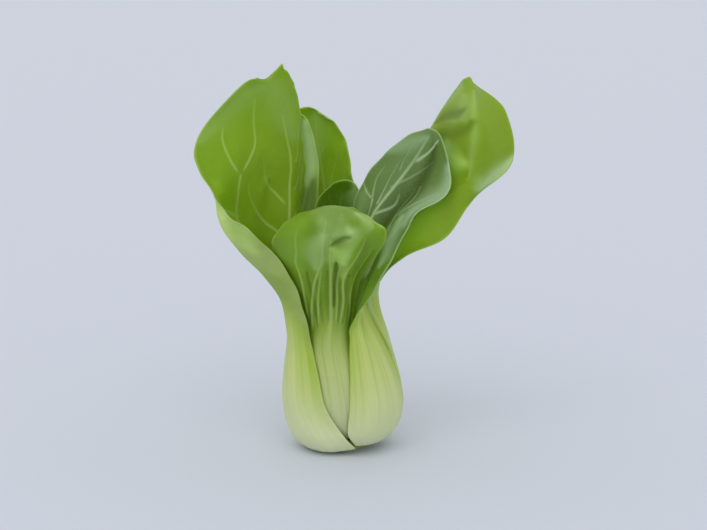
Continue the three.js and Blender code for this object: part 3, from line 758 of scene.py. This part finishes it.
frontCentreLeaf = {
    "piece": "frontCentreLeaf", "node": "leaf_front_centre", "grid": (240, 130),
    "tier": "front",
    "sides": [(232, 298), (231, 302), (230, 302), (230, 300), (226, 298), (220, 294)],
    "tuck": (0.8, 1.2), "lift": 0,
    "blade": [
        [[-19, -13, 67], [-6, -19.5, 71], [5, -16, 68]],
        [[-23, -14, 80], [-6, -22.5, 84], [7, -18, 81]],
        [[-31, -17, 94], [-6, -28, 98], [10, -22, 93]],
        [[-36, -26, 111], [-6, -38, 113], [19, -29, 110]],
        [[-31, -31, 121], [-5, -43, 125], [22, -31, 120]],
        [[-22, -32, 129], [-5, -41, 132], [15, -31, 127]],
        [[-12, -34, 133], [-4, -36, 134], [5, -33, 132]],
    ],
    "folds": [
        {"across": 0.6, "height": 1.2, "width": 0.3, "end": 1},
    ],
    "wave": {"height": 0.8, "count": 4, "phase": 0},
    "veinShow": 0.6, "petioleTone": 0.86, "veinColour": (0.4, 0.54, 0.15), "greenFrom": (0.36, 0.6),
    "midribWidth": 2.2, "midribEnd": 0.78, "veinSides": (),
    "veins": [
        ([(0.5, -0.88), (0.575, -0.8), (0.64, -0.68), (0.7, -0.66), (0.735, -0.59), (0.815, -0.62)],
         1.1, 0.35),
        ([(0.46, -0.8), (0.53, -0.72), (0.61, -0.5), (0.67, -0.28), (0.72, -0.15), (0.845, -0.12)],
         1.3, 0.35),
        ([(0.48, -0.55), (0.56, -0.45), (0.64, -0.28), (0.72, -0.1)], 0.9, 0.4),
        ([(0.48, 0.42), (0.57, 0.46), (0.645, 0.36), (0.72, 0.52), (0.79, 0.6)], 1.1, 0.35),
        ([(0.48, 0.75), (0.555, 0.75), (0.6, 0.67), (0.675, 0.72), (0.74, 0.8)], 1.0, 0.35),
        ([(0.48, 0.22), (0.56, 0.24), (0.63, 0.18), (0.7, 0.25), (0.75, 0.42)], 0.8, 0.4),
        ([(0.6, -0.02), (0.7, 0.05), (0.74, 0.12)], 0.8, 0.4),
    ],
    # creases: heights, painted light and shade, and waxy bloom with painted sheen
    "creases": [
        ([(0.752, 0), (0.764, 0.12), (0.778, 0.24), (0.782, 0.34)], 1.8, -1.2, -0.6, -0.1),
        ([(0.79, 0.04), (0.8, 0.2), (0.803, 0.35)], 2.6, 0.5, 0.05, 0.1),
        ([(0.74, 0.06), (0.72, 0.18), (0.7, 0.28)], 6, 0.3, 0.7, 0.15),
        ([(0.7, 0.13), (0.66, 0.14), (0.62, 0.12), (0.55, 0.1)], 1.5, -0.8, -0.65, -0.1),
        ([(0.74, 0.9), (0.67, 0.86), (0.6, 0.84), (0.5, 0.85)], 3.2, -0.4, -0.3, -0.4),
        ([(0.67, 0.5), (0.62, 0.5), (0.57, 0.5), (0.5, 0.5)], 1.4, -0.5, -0.4, 0),
        ([(0.7, -0.94), (0.63, -0.92), (0.57, -0.9), (0.5, -0.92)], 3.2, -0.3, -0.3, 0),
        ([(0.67, -0.52), (0.62, -0.56), (0.56, -0.58), (0.49, -0.58)], 1.4, -0.5, -0.45, 0),
        ([(0.64, -0.33), (0.6, -0.36), (0.5, -0.38)], 1.4, -0.4, -0.3, 0),
        ([(0.67, -0.08), (0.6, -0.12), (0.5, -0.12)], 1.4, -0.4, -0.3, 0),
        ([(0.64, 0.3), (0.6, 0.32), (0.5, 0.32)], 1.4, -0.4, -0.3, 0),
        ([(0.93, -0.5), (0.92, 0), (0.9, 0.5)], 9, 0, -0.1, 0.2),
        ([(0.84, -0.2), (0.8, 0), (0.8, 0.22), (0.81, 0.38)], 9, 0.2, 0.15, 0.3),
        ([(0.82, 0.3), (0.78, 0.42), (0.72, 0.38), (0.66, 0.32)], 5, 0, 0.3, 0.25),
        ([(0.79, -0.14), (0.73, -0.26), (0.68, -0.32)], 6, 0, 0.2, 0.4),
        ([(0.84, -0.55), (0.76, -0.6), (0.68, -0.62)], 7, 0, 0.3, 0),
        ([(0.86, 0.86), (0.79, 0.82), (0.71, 0.78), (0.64, 0.72)], 6, -0.4, 0.1, -0.5),
        ([(0.91, 0.62), (0.88, 0.8), (0.86, 1)], 6, 0, 0.5, 0.5),
        ([(0.78, 0.6), (0.73, 0.62), (0.67, 0.58)], 4, 0, -0.3, -0.6),
        ([(0.48, -0.9), (0.44, -0.9), (0.38, -0.9)], 4, 0, 0.3, 0),
        ([(0.48, 0.9), (0.44, 0.9), (0.38, 0.9)], 4, 0, 0.3, 0),
    ],
    "innerColour": (0.18, 0.32, 0.02),
    "outerColour": (0.165, 0.295, 0.014),
    "deepColour": (0.14, 0.265, 0.01),
}
buildLeaf(frontCentreLeaf)

backLeftLeaf = {
    "piece": "backLeftLeaf", "node": "leaf_back_left", "grid": (190, 86),
    "tier": "middle",
    "sides": [(128, 204), (128, 204), (126, 200), (121, 194), (114, 182), (107, 170)],
    "tuck": (2, 2), "lift": 0,
    "blade": [
        [[-12, 16, 69], [-19, 15, 69], [-24, 10, 69]],
        [[-15, 17, 88], [-23, 21, 88], [-31, 19, 88]],
        [[-14, 19, 111], [-26, 25, 111], [-40, 22, 110]],
        [[-13, 21, 131], [-28, 28, 131], [-47, 27, 128]],
        [[-13, 22, 149], [-28, 29, 151], [-46, 30, 146]],
        [[-16, 23, 164], [-28, 28, 165], [-39, 30, 160]],
        [[-20, 24, 170], [-25, 26, 171], [-31, 27, 167]],
    ],
    "wave": {"height": 0.9, "count": 4, "phase": 1.7},
    "veinShow": 0.6, "greenFrom": (0.46, 0.56), "midribWidth": 1.6, "midribEnd": 0.95,
    "veinPairs": 5, "veinRise": 0.5, "veinWidth": 0.8,
    # creases: heights, painted light and shade, and waxy bloom with painted sheen
    "creases": [
        ([(0.94, -0.8), (0.87, -0.75), (0.8, -0.72), (0.76, -0.6)], 5, 0, 0.3, 0.75),
        ([(0.765, -0.8), (0.72, -0.7), (0.66, -0.5), (0.56, -0.5)], 10, 0, -0.6, -0.2),
    ],
    "innerColour": (0.21, 0.36, 0.04),
    "outerColour": (0.26, 0.38, 0.08),
    "deepColour": (0.18, 0.32, 0.02),
}
buildLeaf(backLeftLeaf)

backLeaf = {
    "piece": "backLeaf", "node": "leaf_back", "grid": (200, 96),
    "tier": "outer",
    "sides": [(62, 116), (62, 117), (62, 119), (62, 121), (61, 123), (60, 124)],
    "tuck": (3, 3), "lift": 1,
    "blade": [
        [[11, 19, 71], [-2, 26, 71], [-16, 23, 70]],
        [[13, 24, 93], [-4, 31, 93], [-22, 29, 91]],
        [[11, 30, 114], [-8, 38, 115], [-28, 36, 110]],
        [[6, 36, 135], [-11, 45, 137], [-32, 43, 132]],
        [[2, 40, 152], [-14, 48, 155], [-31, 48, 150]],
        [[-5, 43, 165], [-15, 48, 167], [-26, 48, 164]],
        [[-13, 45, 170], [-18, 47, 172], [-23, 47, 171]],
    ],
    "wave": {"height": 1.0, "count": 5, "phase": 0.9},
    "veinShow": 0.4, "greenFrom": (0.46, 0.56), "midribWidth": 1.5, "midribEnd": 0.95,
    "veinPairs": 5, "veinRise": 0.42, "veinWidth": 0.8,
    # creases: heights, painted light and shade, and waxy bloom with painted sheen
    "creases": [
        ([(0.93, -0.1), (0.86, 0.0), (0.78, 0.1)], 7, 0, 0.15, 0.2),
        ([(0.8, -0.7), (0.88, -0.6)], 6, 0, 0.15, 0),
    ],
    "innerColour": (0.205, 0.345, 0.008),
    "outerColour": (0.24, 0.36, 0.05),
    "deepColour": (0.155, 0.285, 0.005),
}
buildLeaf(backLeaf)

centreLeaf = {
    "piece": "centreLeaf", "node": "leaf_centre", "grid": (180, 76),
    "tier": "middle",
    "sides": [(22, 108), (22, 108), (22, 108), (22, 108), (24, 102), (26, 95)],
    "tuck": (2, 2), "lift": 0,
    "blade": [
        [[3, 4, 70], [-3, 8, 69], [-10, 6, 70]],
        [[8, 12, 91], [-3, 16, 91], [-13, 13, 91]],
        [[12, 14, 111], [-2, 19, 112], [-16, 16, 110]],
        [[12, 13, 126], [-1, 18, 128], [-14, 17, 126]],
        [[7, 14, 136], [2, 16, 138], [-5, 17, 136]],
    ],
    "wave": {"height": 0.5, "count": 3, "phase": 0.5},
    "veinShow": 0.5, "greenFrom": (0.52, 0.62), "midribWidth": 1.2, "midribEnd": 0.93,
    "veinPairs": 5, "veinRise": 0.45, "veinWidth": 0.6,
    # creases: heights, painted light and shade, and waxy bloom with painted sheen
    "creases": [
        ([(0.99, -0.9), (0.92, -0.8), (0.8, -0.85)], 7, 0, 0.3, 0.5),
    ],
    "innerColour": (0.075, 0.16, 0.002),
    "outerColour": (0.16, 0.28, 0.04),
    "deepColour": (0.06, 0.135, 0.002),
}
buildLeaf(centreLeaf)

heartLeftLeaf = {
    "piece": "heartLeftLeaf", "node": "leaf_heart_left", "slot": "leaf_heart", "grid": (120, 56),
    "tier": "inner",
    "sides": [(150, 250)] * 6,
    "tuck": (1, 1), "lift": 0,
    "blade": [
        [[-13, 2, 72], [-13, -5, 72], [-7, -9, 72]],
        [[-14, 5, 86], [-16, -5, 87], [-9, -11, 86]],
        [[-13, 5, 98], [-16, -5, 100], [-10, -11, 98]],
        [[-11, 2, 106], [-13, -4, 108], [-10, -8, 106]],
    ],
    "wave": {"height": 0.3, "count": 2, "phase": 0.5},
    "veinShow": 0.5, "greenFrom": (0.6, 0.72), "midribWidth": 1.2, "midribEnd": 0.9,
    "veinPairs": 4, "veinRise": 0.5, "veinWidth": 0.6,
    "innerColour": (0.16, 0.32, 0.04),
    "outerColour": (0.24, 0.4, 0.08),
    "deepColour": (0.12, 0.26, 0.03),
}
buildLeaf(heartLeftLeaf)

heartRightLeaf = {
    "piece": "heartRightLeaf", "node": "leaf_heart_right", "slot": "leaf_heart", "grid": (110, 56),
    "tier": "inner",
    "sides": [(-70, 60)] * 6,
    "tuck": (1, 1), "lift": 0,
    "blade": [
        [[-1, -8, 70], [3, -4, 70], [2, 1, 70]],
        [[-4, -9, 84], [1, -5, 84], [-1, 3, 84]],
        [[-6, -7, 93], [-3, -3, 94], [-5, 2, 93]],
    ],
    "wave": {"height": 0.3, "count": 2, "phase": 1.5},
    "veinShow": 0.5, "greenFrom": (0.68, 0.8), "midribWidth": 1.0, "midribEnd": 0.9,
    "veinPairs": 3, "veinRise": 0.5, "veinWidth": 0.6,
    "innerColour": (0.18, 0.35, 0.05),
    "outerColour": (0.26, 0.42, 0.1),
    "deepColour": (0.14, 0.28, 0.04),
}
buildLeaf(heartRightLeaf)


# The cut stem

stem = {
    "profile": [(0.4, 0), (12.0, 0), (12.6, 0.6), (12.2, 5.6), (9.0, 8.0), (8.8, 11.0), (5.6, 13.5),
                (5.2, 16.0), (3.0, 19.0), (0.4, 19.5)],
    "sides": 96,
    "steps": 90,
    "lobes": (0.015, 0.01),  # how far the stem is out of round, in three lobes and in seven
    "mapWidth": 30,
    "cutColour": (0.62, 0.66, 0.44),
    "ringColour": (0.44, 0.52, 0.24),
    "sideColour": (0.30, 0.38, 0.10),
    "ringRadius": 9.4,
    "ringWidth": 0.0018,
    "ringStrength": 0.7,
    "spots": (900.0, 3.0, 0.6),  # scale, detail and roughness of their noise
    "spotMiddle": 0.5,
    "spotStrength": 0.4,
    "spotDepth": 0.0003,
    "sideFrom": 2000.0,  # the side's colour grows by this for each metre above the cut face
    "roughness": (0.6, 0.2),  # in all, and more with the spots
}


def stemMaterial():
    # the cut face has a darker ring, worked out from the distance to the middle, and fine spots from a
    # noise; the side above it is greener
    paint = Paint("cutStem")
    place = paint.node("ShaderNodeTexCoord", output="Object")
    flat = paint.node("ShaderNodeVectorMath", {"operation": "MULTIPLY"}, {0: place, 1: (1, 1, 0)})
    radius = paint.node("ShaderNodeVectorMath", {"operation": "LENGTH"}, {0: flat}, "Value")
    away = paint.maths("ABSOLUTE", radius - stem["ringRadius"] * millimetre, 0.0)
    ring = paint.clamp(1 - away * (1 / stem["ringWidth"]), 0.0, 1.0)
    spots = paint.noise(place, *stem["spots"])
    uneven = spots - stem["spotMiddle"]
    height = paint.node("ShaderNodeSeparateXYZ", {}, {0: place}, "Z")
    darker = paint.clamp(ring * stem["ringStrength"] + uneven, 0.0, 1.0)
    colour = paint.mix(darker, stem["cutColour"], stem["ringColour"])
    colour = paint.mix(paint.clamp(height * stem["sideFrom"], 0.0, 1.0), colour, stem["sideColour"])
    skin = paint.node("ShaderNodeBump", {}, {
        "Strength": stem["spotStrength"],
        "Distance": stem["spotDepth"],
        "Height": spots,
    })
    rough, rougher = stem["roughness"]
    return paint.finish(Base_Color=colour, Roughness=rough + rougher * uneven, Normal=skin)


def buildStem():
    # the profile turned round the Z axis, closed at both ends by a fan of thin squares
    profile = np.array(stem["profile"], float)
    place = np.linspace(0, len(profile) - 1, stem["steps"] + 1)
    radius, height = (np.interp(place, np.arange(len(profile)), profile[:, k]) for k in (0, 1))
    turn = np.linspace(0, 2 * np.pi, stem["sides"], endpoint=False)
    three, seven = stem["lobes"]
    uneven = 1 + three * np.cos(3 * turn + 1) + seven * np.cos(7 * turn)
    points = np.stack([
        radius[:, None] * uneven * np.cos(turn),
        radius[:, None] * uneven * np.sin(turn),
        np.repeat(height[:, None], len(turn), axis=1),
    ], axis=2).reshape(-1, 3)
    i, j = np.meshgrid(np.arange(stem["steps"]), np.arange(stem["sides"]), indexing="ij")
    after = (j + 1) % stem["sides"]
    a, b = (i * stem["sides"] + j).ravel(), (i * stem["sides"] + after).ravel()
    up = stem["sides"]
    faces = np.stack([a, b, b + up, a + up], axis=1)
    ends = len(points)
    points = np.concatenate([points, [[0, 0, 0], [0, 0, profile[-1, 1]]]])
    ring = np.arange(stem["sides"])
    half = ring[::2]
    nextTo, second = (half + 1) % stem["sides"], (half + 2) % stem["sides"]
    top = stem["steps"] * stem["sides"]
    faces = np.concatenate([
        faces,
        np.stack([np.full(len(half), ends), second, nextTo, half], axis=1),
        np.stack([np.full(len(half), ends + 1), half + top, nextTo + top, second + top], axis=1),
    ])
    uv = points[:, :2] / stem["mapWidth"] + 0.5
    newPiece("cutStem", points, faces, {}, uv, stemMaterial(), ["stem_base"])
    print("cut stem built")


buildStem()


# Floor, light and camera

studio = {
    "floorSize": 16.0,
    "floorColour": (0.62, 0.655, 0.745),
    "floorRoughness": 0.75,
    "worldColour": (0.98, 0.99, 1.0),
    "worldStrength": 0.79,
    "sunFrom": (-0.3, -1.3, 1.4),
    "sunWidth": 60.0,
    "sunPower": 0.8,
    "sunColour": (1.0, 0.985, 0.96),
}
shot = {
    "aim": (0.0054, 0.0, 0.096),  # the point of the head that the middle of the picture shows
    "distance": 0.9,
    "elevation": 12.0,
    "lens": 89.3,
}


def buildFloor():
    # one flat square far larger than the picture
    half = studio["floorSize"] / 2
    points = np.array([(-half, -half, 0), (half, -half, 0), (half, half, 0), (-half, half, 0)])
    mesh = bpy.data.meshes.new("floor")
    mesh.from_pydata(points.tolist(), [], [(0, 1, 2, 3)])
    floor = bpy.data.objects.new("floor", mesh)
    bpy.context.scene.collection.objects.link(floor)
    paint = Paint("floorPaint")
    finish = paint.finish(Base_Color=studio["floorColour"], Roughness=studio["floorRoughness"])
    floor.data.materials.append(finish)


def softSun():
    # an even light from the front left, as wide as a large window near the table
    data = bpy.data.lights.new("sun", "SUN")
    data.energy = studio["sunPower"]
    data.color = studio["sunColour"]
    data.angle = math.radians(studio["sunWidth"])
    sun = bpy.data.objects.new("sun", data)
    sun.rotation_euler = (-Vector(studio["sunFrom"])).to_track_quat("-Z", "Y").to_euler()
    bpy.context.scene.collection.objects.link(sun)


def placeCamera():
    # the camera stands back from its aim point along the photo's viewing angle
    data = bpy.data.cameras.new("camera")
    data.lens = shot["lens"]
    camera = bpy.data.objects.new("camera", data)
    tilt = math.radians(shot["elevation"])
    back = Vector((0, -math.cos(tilt), math.sin(tilt)))
    camera.location = Vector(shot["aim"]) + back * shot["distance"]
    camera.rotation_euler = (-back).to_track_quat("-Z", "Y").to_euler()
    bpy.context.scene.collection.objects.link(camera)
    bpy.context.scene.camera = camera


buildFloor()
softSun()
world = bpy.data.worlds.new("studioLight")
world.use_nodes = True
world.node_tree.nodes["Background"].inputs["Color"].default_value = (*studio["worldColour"], 1)
world.node_tree.nodes["Background"].inputs["Strength"].default_value = studio["worldStrength"]
bpy.context.scene.world = world
bpy.context.scene.view_settings.view_transform = "Standard"
placeCamera()
print("floor, light and camera placed")
